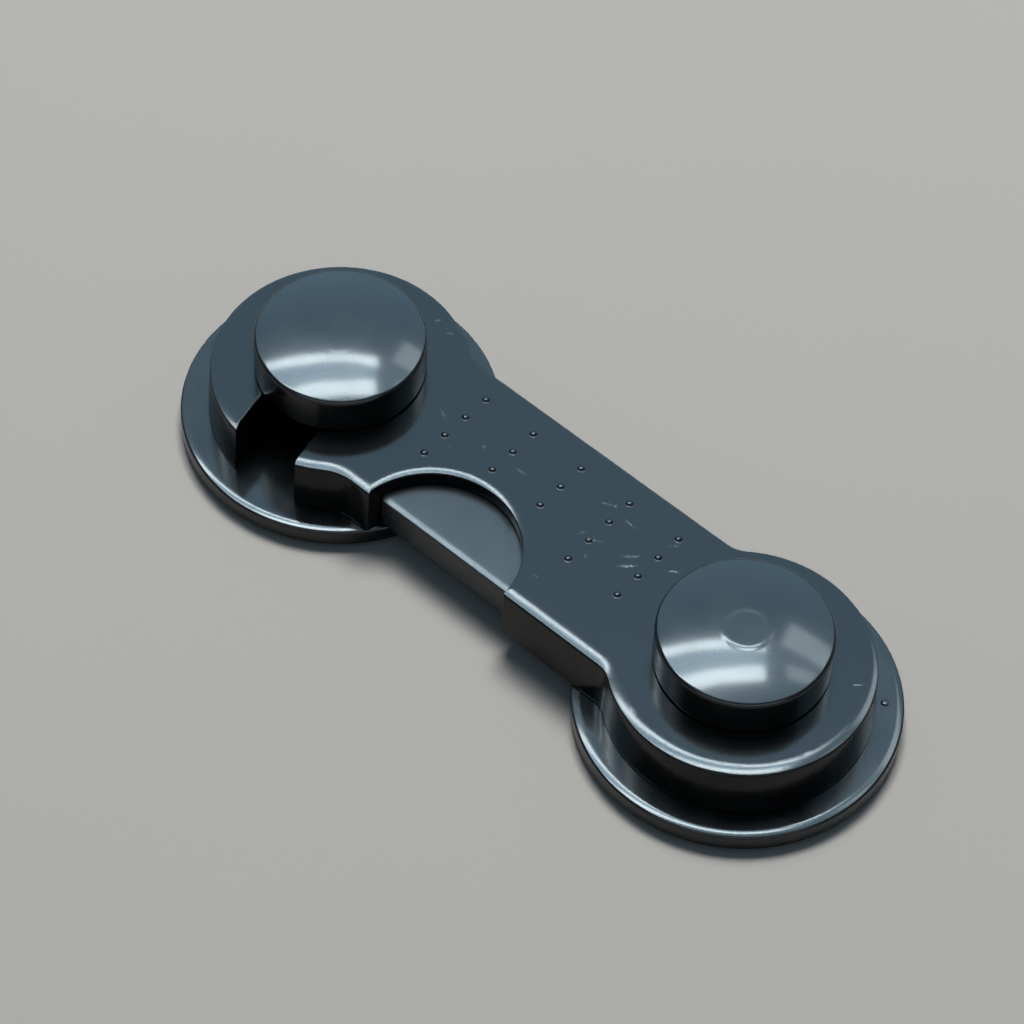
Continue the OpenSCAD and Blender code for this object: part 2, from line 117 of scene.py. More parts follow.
# Height of a mount screw's head in metres, and its pitch as a share of the plate screws'
HEAD_HEIGHT = 0.8 * MM
COARSE = 1.6

# Directions on the floor: towards the camera, and to its right
NEAR = np.array([0.636, -0.772])
RIGHT = np.array([0.772, 0.636])

# Camera: its place in metres, the way it looks and its right-hand side
EYE, AHEAD, ASIDE = (0.1987, -0.2456, 0.4327), (-0.381, 0.462, -0.801), (0.745, 0.666, 0.030)

# Colours of the light, and the ceiling's lights for the gloss: name, middle to the right and nearer, width and
# depth, radiance as a share of the strips', colour, and turn in degrees
COOL, BLUE, WARM, SKY = (0.84, 0.96, 1.0), (0.50, 0.78, 1.0), (1.0, 0.99, 0.97), (0.60, 0.82, 1.0)
CEILING = (
    ("strip_far", -0.20, -0.46, 0.80, 0.09, 1.0, COOL, 0),
    ("strip_near", -0.20, -0.175, 0.80, 0.12, 1.0, COOL, 9),
    ("panel", -0.20, -0.32, 0.80, 0.18, 0.22, BLUE, 0),
    ("panel_side", 0.55, -0.58, 0.42, 0.30, 0.22, COOL, -20),
    ("panel_corner", 0.45, -0.28, 0.22, 0.12, 0.2, COOL, 0),
)

# Scuffs on the arm's top: X, Y, length and width in mm, angle in degrees, strength
SCUFFS = (
    (-28.3, 13.3, 1.5, 0.5, 43, 0.8), (-25.8, 12.8, 1.8, 0.5, 40, 0.8), (-13.8, -0.6, 0.8, 0.7, 0, 0.9),
    (-10.8, 2.4, 0.7, 0.8, 0, 0.9), (-17.9, 2.8, 2.8, 0.5, -25, 0.5), (-5.0, 2.7, 2.6, 0.55, 3, 0.7),
    (5.8, 6.1, 2.6, 0.5, 22, 0.7), (7.0, 6.6, 0.8, 0.8, 0, 1.0), (9.9, 5.8, 3.0, 0.5, 2, 0.8),
    (8.3, 0.9, 3.8, 0.6, 28, 0.7), (6.6, 0.9, 1.8, 0.5, 60, 0.6), (13.2, 2.2, 3.0, 0.6, 43, 1.0),
    (13.8, 0.8, 3.7, 0.6, 45, 1.0), (16.0, 6.9, 2.1, 0.5, 43, 0.9), (18.4, 4.0, 2.4, 0.5, 40, 1.0),
    (9.2, -1.5, 0.8, 0.8, 0, 0.6), (6.7, -7.9, 1.3, 0.7, 30, 0.5), (44.9, 6.2, 1.9, 0.35, 43, 0.8),
)


def span(node):
    """Lowest and highest corner of a CAD node, in metres, as arrays."""
    low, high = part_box(node)
    return np.array(low), np.array(high)


def axis_of(node):
    """X and Y of the middle of a round node."""
    low, high = span(node)
    return (low + high)[:2] / 2


# Surfaces

def smooth(value):
    """0 below 0, 1 above 1 and 3v^2 - 2v^3 between them."""
    v = np.clip(value, 0, 1)
    return v * v * (3 - 2 * v)


def rounded(corners, steps=7):
    """Points of a line through corners (r, z, fillet), with an arc in each corner but the two ends.

    An arc starts and ends fillet * tan(turn / 2) from its corner. With a and b the arms from its centre to those
    two points, the point at share s of the turn is centre + (sin((1 - s) turn) a + sin(s turn) b) / sin(turn).
    One more point at a short hold before each arc, and one after it, keep the flats flat in shading.
    """
    corners = np.array(corners, float)
    place, fillet = corners[1:-1, :2], corners[1:-1, 2:]
    back = corners[:-2, :2] - place
    ahead = corners[2:, :2] - place
    back /= np.linalg.norm(back, axis=1, keepdims=True)
    ahead /= np.linalg.norm(ahead, axis=1, keepdims=True)
    turn = np.arccos(np.clip(-(back * ahead).sum(1, keepdims=True), -1, 1))
    reach = fillet * np.tan(turn / 2)
    inwards = (back + ahead) / np.linalg.norm(back + ahead, axis=1, keepdims=True)
    centre = place + inwards * fillet / np.cos(turn / 2)
    first, last = place + back * reach, place + ahead * reach
    share = np.linspace(0, 1, steps)[None, :, None]
    arms = (np.sin((1 - share) * turn[:, None]) * (first - centre)[:, None]
            + np.sin(share * turn[:, None]) * (last - centre)[:, None])
    arc = centre[:, None] + arms / np.sin(turn)[:, None]
    hold = np.minimum(fillet * 0.2, KEEN)
    lines = np.concatenate([(first + back * hold)[:, None], arc, (last + ahead * hold)[:, None]], axis=1)
    return np.concatenate([corners[:1, :2], lines.reshape(-1, 2), corners[-1:, :2]])


def turned(middle, profile, columns=192, relief=None):
    """Vertices and faces of a profile (r, z) turned about the upright line through middle.

    Point (i, j) is middle + (r_i cos t_j, r_i sin t_j, z_i) after relief(r, z, t) has moved its r and z. A profile
    that starts and ends on the axis closes in two poles, and any other closes on itself.
    """
    angle = np.linspace(0, 2 * np.pi, columns, endpoint=False)[None, :]
    polar = profile[0, 0] < TINY
    radius, height = (np.repeat(profile[:, k:k + 1], columns, axis=1) for k in (0, 1))
    if relief is not None:
        radius, height = relief(radius, height, np.repeat(angle, len(profile), axis=0))
    grid = np.stack([middle[0] + radius * np.cos(angle), middle[1] + radius * np.sin(angle), height], axis=-1)
    rings = grid[1:-1] if polar else grid
    points = rings.reshape(-1, 3)
    index = np.arange(len(points)).reshape(len(rings), columns)
    if not polar:
        index = np.vstack([index, index[:1]])
    a, b = index[:-1], index[1:]
    quads = np.stack([a, b, np.roll(b, -1, 1), np.roll(a, -1, 1)], axis=-1).reshape(-1, 4).tolist()
    if not polar:
        return points, quads
    poles = np.array([grid[0, 0], grid[-1, 0]])
    start, end = index[0], index[-1]
    caps = np.concatenate([
        np.stack([np.full(columns, len(points)), start, np.roll(start, -1)], axis=-1),
        np.stack([end, np.full(columns, len(points) + 1), np.roll(end, -1)], axis=-1)])
    return np.concatenate([points, poles]), quads + caps.tolist()


def swept(path, across, along, radius, sides=14):
    """Vertices and faces of a round wire along a path.

    Point (i, j) is path_i + radius (cos t_j across_i + sin t_j along_i); both ends are closed by a fan.
    """
    angle = np.linspace(0, 2 * np.pi, sides, endpoint=False)[None, :, None]
    grid = path[:, None] + radius * (np.cos(angle) * across[:, None] + np.sin(angle) * along[:, None])
    index = np.arange(len(path) * sides).reshape(len(path), sides)
    a, b = index[:-1], index[1:]
    quads = np.stack([a, np.roll(a, -1, 1), np.roll(b, -1, 1), b], axis=-1).reshape(-1, 4)
    count = index.size
    caps = np.concatenate([
        np.stack([np.full(sides, count), np.roll(index[0], -1), index[0]], axis=-1),
        np.stack([np.full(sides, count + 1), index[-1], np.roll(index[-1], -1)], axis=-1)])
    points = np.concatenate([grid.reshape(-1, 3), path[:1], path[-1:]])
    return points, quads.tolist() + caps.tolist()


def gathered(*parts):
    """One set of vertices and faces from several."""
    points, faces, start = [], [], 0
    for vertices, polygons in parts:
        points.append(vertices)
        faces.extend([[start + v for v in face] for face in polygons])
        start += len(vertices)
    return np.concatenate(points), faces


def piece(name, shape, material, body, slot, *nodes):
    """A mesh object at the origin that rides on a body and stands for the CAD nodes."""
    points, faces = shape
    mesh = bpy.data.meshes.new(name)
    mesh.from_pydata(points.tolist(), [], faces)
    mesh.polygons.foreach_set("use_smooth", np.ones(len(mesh.polygons), bool))
    mesh.update()
    mesh.materials.append(material)
    made = bpy.data.objects.new(name, mesh)
    bpy.context.scene.collection.objects.link(made)
    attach(made, body)
    if nodes:
        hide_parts(*nodes)
    return made


# Shader maths

class Socket:
    """An output socket or a number, with the sums that a mask or a pattern needs."""

    def __init__(self, finish, value):
        self.finish = finish
        self.value = value

    def sum(self, operation, *others):
        """One Math node: the operation on this value and up to two others."""
        made = self.finish.node("ShaderNodeMath", {"operation": operation}, dict(enumerate((self, *others))))
        return Socket(self.finish, made.outputs[0])

    def __add__(self, other):
        return self.sum("ADD", other)

    def __sub__(self, other):
        return self.sum("SUBTRACT", other)

    def __mul__(self, other):
        return self.sum("MULTIPLY", other)

    def __rsub__(self, other):
        return Socket(self.finish, other).sum("SUBTRACT", self)

    __radd__ = __add__
    __rmul__ = __mul__

    def ramp(self, low, high):
        """0 below low, 1 above high and a smooth rise between them; high may be the lower."""
        ends = (1.0, 0.0) if high < low else (0.0, 1.0)
        made = self.finish.node("ShaderNodeMapRange", {"interpolation_type": "SMOOTHSTEP"},
                                {"Value": self, "From Min": min(low, high), "From Max": max(low, high),
                                 "To Min": ends[0], "To Max": ends[1]})
        return Socket(self.finish, made.outputs["Result"])


class Finish:
    """One material under construction."""

    def __init__(self, name):
        self.material = bpy.data.materials.new(name)
        self.material.use_nodes = True
        self.tree = self.material.node_tree
        self.tree.nodes.clear()
        self.shader = self.node("ShaderNodeBsdfPrincipled")
        self.end = self.node("ShaderNodeOutputMaterial", None, {"Surface": self.shader.outputs[0]})
        self.place = self.node("ShaderNodeTexCoord").outputs["Object"]

    def node(self, kind, settings=None, sockets=None):
        """A node of that kind with its settings first, and then the values or links of its sockets."""
        made = self.tree.nodes.new(kind)
        for key, value in (settings or {}).items():
            setattr(made, key, value)
        self.feed(made, sockets or {})
        return made

    def feed(self, node, sockets):
        """Sets a node's sockets, by name or number, to plain values or links them."""
        for key, item in sockets.items():
            slot = node.inputs[key]
            if isinstance(item, Socket):
                item = item.value
            if isinstance(item, bpy.types.NodeSocket):
                self.tree.links.new(item, slot)
            elif slot.type == "RGBA" and len(item) == 3:
                slot.default_value = (*item, 1.0)
            else:
                slot.default_value = item

    def noise(self, cell, detail=2.0, roughness=0.5, distortion=0.0, stretch=(1, 1, 1), shift=(0, 0, 0)):
        """Noise with a cell of that many metres, stretched along the axes."""
        mapping = self.node("ShaderNodeMapping", {"vector_type": "POINT"},
                            {"Vector": self.place, "Location": shift, "Scale": tuple(1.0 / s for s in stretch)})
        made = self.node("ShaderNodeTexNoise", {"noise_dimensions": "3D"},
                         {"Vector": mapping.outputs[0], "Scale": 1.0 / cell, "Detail": detail,
                          "Roughness": roughness, "Distortion": distortion})
        return Socket(self, made.outputs["Fac"])

    def stroke(self, x, y, length, width, angle, strength):
        """A soft oval mark: its strength in the middle, 0 outside, in mm and degrees on the plane of X and Y."""
        mapping = self.node("ShaderNodeMapping", {"vector_type": "TEXTURE"},
                            {"Vector": self.place, "Location": (x * MM, y * MM, 0),
                             "Rotation": (0, 0, np.radians(angle)), "Scale": (length * MM / 2, width * MM / 2, 1)})
        far = self.node("ShaderNodeVectorMath", {"operation": "LENGTH"}, {"Vector": mapping.outputs[0]})
        return Socket(self, far.outputs["Value"]).ramp(1.0, 0.1) * strength

    def mix(self, mask, first, second):
        """Colour first where the mask is 0 and second where it is 1."""
        made = self.node("ShaderNodeMix", {"data_type": "RGBA"}, {0: mask, 6: first, 7: second})
        return Socket(self, made.outputs[2])

    def bump(self, height, depth, under=None):
        """Normal of a relief of that many metres, over another normal if one is given."""
        sockets = {"Height": height, "Distance": depth, "Strength": 1.0}
        if under is not None:
            sockets["Normal"] = under
        return Socket(self, self.node("ShaderNodeBump", None, sockets).outputs["Normal"])

    def crowned(self, normal, share, top):
        """The normal as if the round edges under a level top were low crowns that end in a small corner.

        A normal whose level part has length s gets one of s share, until that rises to 1 at the foot of the edge.
        Its upright part follows from its length of 1.
        """
        split = self.node("ShaderNodeSeparateXYZ", None, {0: normal})
        x, y, z = (Socket(self, split.outputs[k]) for k in range(3))
        level = (x * x + y * y).sum("SQRT")
        above = Socket(self, self.node("ShaderNodeSeparateXYZ", None, {0: self.place}).outputs[2])
        edge = above.ramp(top + KEEN, top) * z.ramp(0.0, 0.02)
        part = level.ramp(0.88, 1.0) * (1 - share) + share
        factor = (part - 1) * edge + 1
        height = (1 - (level * factor).sum("POWER", 2.0)).sum("MAXIMUM", 0.0).sum("SQRT")
        upright = (height - z) * edge + z
        made = self.node("ShaderNodeCombineXYZ", None, {0: x * factor, 1: y * factor, 2: upright})
        return Socket(self, made.outputs[0])

    def lying(self):
        """1 where a surface faces up or down and 0 where it stands upright."""
        facing = self.node("ShaderNodeNewGeometry").outputs["Normal"]
        z = Socket(self, self.node("ShaderNodeSeparateXYZ", None, {0: facing}).outputs[2])
        return z.sum("ABSOLUTE").ramp(0.2, 0.7)

    def soft_edge(self, radius):
        """Normal that rounds every sharp edge by that radius."""
        return Socket(self, self.node("ShaderNodeBevel", {"samples": 6}, {"Radius": radius}).outputs["Normal"])

    def dulled(self, share, roughness, shine):
        """Mixes in a copy of the shader so far at that share, with a roughness and a specular level of its own."""
        sockets = {key: self.shader.inputs[key].links[0].from_socket for key in ("Base Color", "Normal")}
        sockets["IOR"] = self.shader.inputs["IOR"].default_value
        dull = self.node("ShaderNodeBsdfPrincipled", None,
                         {**sockets, "Roughness": roughness, "Specular IOR Level": shine})
        both = self.node("ShaderNodeMixShader", None, {0: share, 1: self.shader.outputs[0], 2: dull.outputs[0]})
        self.feed(self.end, {"Surface": both.outputs[0]})
        return self.material

    def set(self, **sockets):
        """Constants and links of the shader's own sockets."""
        self.feed(self.shader, {key.replace("_", " "): item for key, item in sockets.items()})
        return self.material


def moulded_plastic(name, colour, roughness, grain, haze, shine, scuffs=(), edge=0.0, crown=None):
    """Black moulded plastic.

    Its colour drifts a little and carries fine dust, and its relief is a fine spark texture over a slow waviness.
    A share haze of the gloss is dull, of specular level shine, as flow and handling leave it, and drifts a little.
    The rest is clear, and there is less of it on upright walls, which dragged along the steel of the mould. scuffs
    are the pale short marks, partly real wear and partly a painted highlight of the light they catch; edge rounds
    the mould's sharp edges, and crown, a share and a height, lowers the slope of the round edges under that height.
    """
    f = Finish(name)
    drift = f.noise(DRIFT_CELL, detail=4.0)
    dust = f.noise(DUST_CELL, detail=1.0, shift=(3, 1, 2)).ramp(0.73, 0.80)
    spark = f.noise(SPARK_CELL, detail=2.0, roughness=0.6)
    wave = f.noise(WAVE_CELL, detail=1.0, shift=(5, 2, 7))
    dark, light = (tuple(c * (1 + off) for c in colour) for off in (-COLOUR_DRIFT, COLOUR_DRIFT))
    shade = f.mix(dust * DUST_SHARE, f.mix(drift, dark, light), DUST_COLOUR)
    rough = drift * ROUGH_DRIFT + (roughness + 0.01)
    facing = f.soft_edge(edge) if edge else None
    if crown:
        facing = f.crowned(facing, *crown)
    relief = f.bump(wave, WAVE_DEPTH, facing)
    height = spark * grain
    if scuffs:
        marks = f.stroke(*scuffs[0])
        for scuff in scuffs[1:]:
            marks = marks + f.stroke(*scuff)
        marks = marks * f.noise(WEAR_CELL, detail=3.0, distortion=0.8, shift=(2, 6, 4)).ramp(0.34, 0.60)
        # The scuffs' pale colour is partly real wear and partly a painted highlight of the light they catch
        shade = f.mix(marks * SCUFF_AND_GLINT_SHARE, shade, SCUFF_AND_GLINT_COLOUR)
        rough = rough + marks * WEAR_ROUGH
        height = height + marks * WEAR_HEIGHT
    relief = f.bump(height, SPARK_DEPTH, relief)
    f.set(Base_Color=shade, Roughness=roughness, Normal=relief, IOR=PLASTIC_IOR)
    clear = drift * (-2 * CLEAR_DRIFT) + (1 + CLEAR_DRIFT - haze)
    return f.dulled(1 - clear * (f.lying() * (1 - UPRIGHT_CLEAR) + UPRIGHT_CLEAR), rough, shine)


def foam_tape(name, colour):
    """Closed-cell acrylic foam: small pits in a dull black pad."""
    f = Finish(name)
    cell, depth = 0.35 * MM, 0.05 * MM
    cells = f.node("ShaderNodeTexVoronoi", {"feature": "F1"}, {"Vector": f.place, "Scale": 1 / cell})
    pits = Socket(f, cells.outputs["Distance"])
    shade = f.mix(pits, tuple(c * 1.5 for c in colour), tuple(c * 0.6 for c in colour))
    return f.set(Base_Color=shade, Roughness=0.85, Normal=f.bump(pits, depth))


def plated_steel(name, colour):
    """Zinc-plated wire and screws: clouded plating with fine drawn lines along Z."""
    f = Finish(name)
    cloud_cell, line_cell, depth = 1.2 * MM, 0.12 * MM, 0.004 * MM
    cloud = f.noise(cloud_cell, detail=3.0)
    drawn = f.noise(line_cell, stretch=(1, 1, 8))
    shade = f.mix(cloud, tuple(c * 0.8 for c in colour), colour)
    return f.set(Base_Color=shade, Roughness=cloud * 0.2 + 0.22, Metallic=1.0, Normal=f.bump(drawn, depth))


def floor_paint(name, colour):
    """Matt pale board with the faintest mottling."""
    f = Finish(name)
    cloud = f.noise(60 * MM, detail=3.0)
    shade = f.mix(cloud, tuple(c * 0.98 for c in colour), colour)
    return f.set(Base_Color=shade, Roughness=0.9, Specular_IOR_Level=0.0)


def shared(name, make, *settings, **looks):
    """The finish of that name, made at its first use; no finish has the name of one of the record's slots."""
    return bpy.data.materials.get(name) or make(name, *settings, **looks)


def dress(node, material):
    """Gives a CAD node one material."""
    slots = frame["nodes"][node].data.materials
    slots.clear()
    slots.append(material)


# Settings

def length(name, description, value):
    """A length in metres that a user may change."""
    return FloatProperty(name=name, description=description, default=value, min=0.0,
                         subtype="DISTANCE", unit="LENGTH", precision=5)


def tint(name, description, value):
    """A colour that a user may change."""
    return FloatVectorProperty(name=name, description=description, subtype="COLOR", default=value,
                               min=0.0, max=1.0)


def amount(name, description, value, low=0.0, high=100.0):
    """A plain number that a user may change."""
    return FloatProperty(name=name, description=description, default=value, min=low, max=high)


class LockSizes(bpy.types.PropertyGroup):
    """Sizes of the pieces that the frame's boxes don't give."""

    skirt: length("Knob skirt", "Height of a knob's straight skirt", 0.0052)
    dome: length("Knob dome", "Rise of the dome above the skirt", 0.0016)
    knob_round: length("Knob rounding", "Rounding between skirt and dome", 0.0006)
    knob_wall: length("Knob wall", "Wall thickness of a knob", 0.0020)
    post: length("Post", "Diameter of the post under a knob", 0.0082)
    spigot: length("Spigot", "Diameter of the spigot under a post", 0.0060)
    spigot_drop: length("Spigot length", "Length of the spigot", 0.0008)
    pilot: length("Pilot hole", "Diameter of the hole for a mount screw", 0.0029)
    pilot_depth: length("Pilot depth", "Depth of that hole", 0.0071)
    sink: length("Sink mark", "Radius of the sunk flat over the pivot's post", 0.0028)
    sink_edge: length("Sink edge", "Width of that flat's edge", 0.0011)
    sink_proud: length("Sink rim", "How far the flat's edge stands above the dome", 0.000014)
    sink_off: length("Sink offset", "How far the flat lies off the middle", 0.0006)
    rim_crown: length("Disc crown", "Radius of the crown that leads down to a disc's edge", 0.0032)
    rim_width: length("Disc crown width", "From the crown's middle to the disc's edge", 0.0008)
    rim_fall: length("Disc crown fall", "How far the crown falls", 0.0002)
    rim_round: length("Disc rounding", "Rounding of a disc's upper edge", 0.00035)
    socket: length("Disc socket", "Diameter of a disc's socket", 0.0062)
    socket_depth: length("Socket depth", "Depth of a disc's socket", 0.0009)
    recess: length("Screw recess", "Diameter of the recess for a mount screw's head", 0.0056)
    recess_depth: length("Recess depth", "Depth of that recess", 0.0010)
    hole: length("Screw hole", "Diameter of the hole between recess and socket", 0.0030)
    pip: length("Pip height", "Height of the pips on the arm's roof", 0.0003)
    crown: amount("Edge crown", "Slope of the arm's round edges as a share of a quarter circle's", 0.22, 0.0, 1.0)
    gate: length("Gate pip", "Diameter of the moulding pip on the pivot disc", 0.0011)
    shank: length("Mount screw", "Diameter of a mount screw's shank", 0.0028)
    plate_shank: length("Plate screw", "Diameter of a plate screw's shank", 0.0018)
    plate_head: length("Plate screw head", "Diameter of a plate screw's head", 0.0034)
    pitch: length("Thread pitch", "Pitch of the plate screws' threads", 0.0006)
    wire: length("Spring wire", "Diameter of the spring's wire", 0.0005)
    turns: IntProperty(name="Spring turns", description="Number of the spring's turns", default=6, min=2)


class LockFinish(bpy.types.PropertyGroup):
    """Colours and gloss of the lock's pieces."""

    arm: tint("Arm", "Colour of the arm's plastic", (0.0030, 0.0034, 0.0038))
    disc: tint("Discs", "Colour of the mounting discs", (0.0026, 0.0030, 0.0034))
    knob: tint("Knobs", "Colour of the knobs", (0.0024, 0.0027, 0.0030))
    button: tint("Button", "Colour of button and bolt", (0.0035, 0.0060, 0.0090))
    foam: tint("Pads", "Colour of the adhesive pads", (0.008, 0.008, 0.0085))
    steel: tint("Steel", "Colour of screws and spring", (0.62, 0.63, 0.66))
    arm_gloss: amount("Arm roughness", "Roughness of the arm and the discs", 0.10, 0.05, 0.8)
    knob_gloss: amount("Knob roughness", "Roughness of the knobs", 0.10, 0.05, 0.8)
    button_gloss: amount("Button roughness", "Roughness of the button", 0.16, 0.05, 0.8)


class LockStage(bpy.types.PropertyGroup):
    """Floor, lights and camera."""

    floor: tint("Floor", "Colour of the floor", (0.335, 0.325, 0.31))
    strips: amount("Strips", "Radiance of the two light strips", 29.0)
    glow: amount("Glow", "Radiance of the glow round the strips", 3.2)
    key: amount("Key", "Radiance of the soft light on the floor", 32.0)
    sky: amount("Sky", "Radiance of the surroundings", 0.25)
    lens: amount("Lens", "Focal length of the camera, in millimetres", 153.12, 20.0, 400.0)


# Pieces

def knob_profile(sizes, foot, radius, top):
    """Outline of a knob and its post, from the apex outwards and back to the axis in the pilot hole.

    The dome is an arc of radius (r^2 + h^2) / 2h round a point on the axis. An arc of the knob's rounding, tangent
    to it, leads into the skirt, and rounded corners follow for the hollow, the post and the spigot.
    """
    dome_r = (radius ** 2 + sizes.dome ** 2) / (2 * sizes.dome)
    dome_z = top - dome_r
    edge_r = radius - sizes.knob_round
    edge_z = dome_z + np.sqrt((dome_r - sizes.knob_round) ** 2 - edge_r ** 2)
    meet = edge_r * dome_r / (dome_r - sizes.knob_round)
    r = np.linspace(0, meet, DOME_POINTS)
    dome = np.stack([r, dome_z + np.sqrt(dome_r ** 2 - r ** 2)], axis=-1)
    angle = np.linspace(np.arctan2(edge_z - dome_z, edge_r), 0, EDGE_POINTS)[1:]
    edge = np.stack([edge_r + sizes.knob_round * np.cos(angle), edge_z + sizes.knob_round * np.sin(angle)], axis=-1)
    skirt_foot = top - sizes.dome - sizes.skirt
    inner, post, spigot, pilot = radius - sizes.knob_wall, sizes.post / 2, sizes.spigot / 2, sizes.pilot / 2
    ceiling = skirt_foot + sizes.skirt - sizes.knob_wall
    seat = foot + sizes.spigot_drop
    pilot_end = foot + sizes.pilot_depth
    rest = rounded([(radius, edge_z - KEEN, 0), (radius, skirt_foot, SOFT), (inner, skirt_foot, SOFT),
                    (inner, ceiling, HOLLOW), (post, ceiling, HOLLOW), (post, seat, FINE), (spigot, seat, FINE),
                    (spigot, foot, BLUNT), (pilot, foot, FINE), (pilot, pilot_end, FINE), (0, pilot_end, 0)])
    return np.concatenate([dome, edge, rest])


class LOCK_OT_knobs(bpy.types.Operator):
    """Make the two domed knobs with their posts; the pivot's has a sink mark"""

    bl_idname = "lock.knobs"
    bl_label = "Knobs"

    def execute(self, context):
        sizes, look = context.scene.lock_sizes, context.scene.lock_finish
        plastic = shared("knob_gloss", moulded_plastic, tuple(look.knob), look.knob_gloss,
                         grain=0.10, haze=0.45, shine=0.45)
        for node, share in SINKS.items():
            low, high = span(node)
            radius, top, skin = (high - low)[0] / 2, high[2], high[2] - sizes.dome
            curve = (radius ** 2 + sizes.dome ** 2) / sizes.dome
            flat = top - sizes.sink ** 2 / curve + sizes.sink_proud

            def sunk(r, z, t, share=share, flat=flat, skin=skin):
                """A flat replaces the dome round a point off the middle, by a smooth step at the sink's radius."""
                x, y = r * np.cos(t) - NEAR[0] * sizes.sink_off, r * np.sin(t) - NEAR[1] * sizes.sink_off
                inside = 1 - smooth((np.hypot(x, y) - sizes.sink) / sizes.sink_edge + 0.5)
                return r, np.where(z > skin, z + (flat - z) * inside * share, z)

            shape = turned(axis_of(node), knob_profile(sizes, low[2], radius, top), relief=sunk)
            piece(node + "_moulding", shape, plastic, "mounts", "knob_plastic", node)
        return {"FINISHED"}


class LOCK_OT_discs(bpy.types.Operator):
    """Make the two mounting discs and the moulding pip on the pivot's"""

    bl_idname = "lock.discs"
    bl_label = "Discs"

    def execute(self, context):
        sizes, look = context.scene.lock_sizes, context.scene.lock_finish
        plastic = shared("disc_gloss", moulded_plastic, tuple(look.disc), look.arm_gloss,
                         grain=0.20, haze=0.3, shine=0.4)
        for node in ("pivot_base", "catch_base"):
            low, high = span(node)
            rim, foot, top = (high - low)[0] / 2, low[2], high[2]
            floor, roof = top - sizes.socket_depth, foot + sizes.recess_depth
            socket, recess, hole = sizes.socket / 2, sizes.recess / 2, sizes.hole / 2
            loop = [(socket, floor, KEEN), (socket, top, FINE), (rim - sizes.rim_width, top, sizes.rim_crown),
                    (rim, top - sizes.rim_fall, sizes.rim_round), (rim, foot, BLUNT), (recess, foot, FINE),
                    (recess, roof, KEEN), (hole, roof, KEEN), (hole, floor, KEEN)]
            profile = rounded([loop[-1], *loop, loop[0]], 10)[1:-1]
            piece(node + "_moulding", turned(axis_of(node), profile, 256), plastic, "mounts", "disc_plastic", node)

        # The pip lies between the arm's eye and the rim, lower than the arm's foot. At the share s of its radius
        # it is (1 - s^2)^0.8 of its rise high.
        top = span("pivot_base")[1][2]
        radius = sizes.gate / 2
        r = np.linspace(0, radius, 16)
        cap = np.stack([r, top - KEEN + GATE_RISE * (1 - (r / radius) ** 2) ** 0.8], axis=-1)
        shape = turned(axis_of("pivot_base") + GATE_PLACE, np.concatenate([cap, [[0, top - GATE_FOOT]]]), 40)
        piece("pivot_disc_gate_pip", shape, plastic, "mounts", "disc_plastic")
        return {"FINISHED"}


class LOCK_OT_pads(bpy.types.Operator):
    """Make the two foam pads, whose sides bulge a little under the discs"""

    bl_idname = "lock.pads"
    bl_label = "Pads"

    def execute(self, context):
        """At the share s of a pad's height, its side lies bulge * (1 - sin(pi s)) inside its largest radius."""
        foam = shared("foam_tape", foam_tape, tuple(context.scene.lock_finish.foam))
        for node in ("pivot_pad", "catch_pad"):
            low, high = span(node)
            radius, foot, top = (high - low)[0] / 2, low[2], high[2]
            share = np.linspace(0, 1, 12)
            side = np.stack([radius - PAD_BULGE * (1 - np.sin(np.pi * share)), top - (top - foot) * share], axis=-1)
            level = radius - PAD_EDGE
            face = np.array([[0, top], [radius * 0.5, top], [level, top]])
            profile = np.concatenate([face, side, [[level, foot], [0, foot]]])
            piece(node + "_foam", turned(axis_of(node), profile), foam, "mounts", "pad_foam", node)
        return {"FINISHED"}


def screw(middle, head, shank, top, foot, seat, pitch, cone):
    """A screw that points up: threaded shank, head and a cross recess in the head's lower face.

    The thread pulls the radius in by a triangle wave of z / pitch - t / 2 pi. The recess lifts the lower face where
    the smaller of |x| and |y| is under the slot's half width and the larger is under its reach.
    """
    bevel = head * 0.05
    slot, reach, soft, depth = head * 0.13, head * 0.58, head * 0.05, shank * 0.14
    neck = seat if cone else seat + bevel
    rise = np.linspace(top - shank, neck + FINE, THREAD_POINTS)
    thread = np.stack([np.full_like(rise, shank), rise], axis=-1)
    tip = np.array([[0, top], [shank * 0.3, top], [shank * 0.55, top - shank * 0.4]])
    shoulder = np.array([[shank, neck]] if cone else [[shank, neck], [head - bevel, seat], [head, seat - bevel]])
    across = np.linspace(head, 0, FACE_POINTS)
    face = np.stack([across, np.full_like(across, foot)], axis=-1)
    profile = np.concatenate([tip, thread, shoulder, [[head, foot + bevel]], face])

    def cut(r, z, t):
        """The thread on the shank and the cross in the face."""
        wave = np.abs(2 * ((z / pitch - t / (2 * np.pi)) % 1) - 1)
        on_shank = smooth((top - shank * 0.6 - z) / pitch) * smooth((z - neck) / pitch)
        radius = r - depth * wave * on_shank * (r > shank * 0.9) * (z > neck)
        x, y = np.abs(r * np.cos(t)), np.abs(r * np.sin(t))
        inside = smooth((slot - np.minimum(x, y)) / soft + 0.5) * smooth((reach - np.maximum(x, y)) / soft + 0.5)
        return radius, z + (seat - foot) * 0.6 * inside * (z <= foot + TINY)

    return turned(middle, profile, 96, cut)


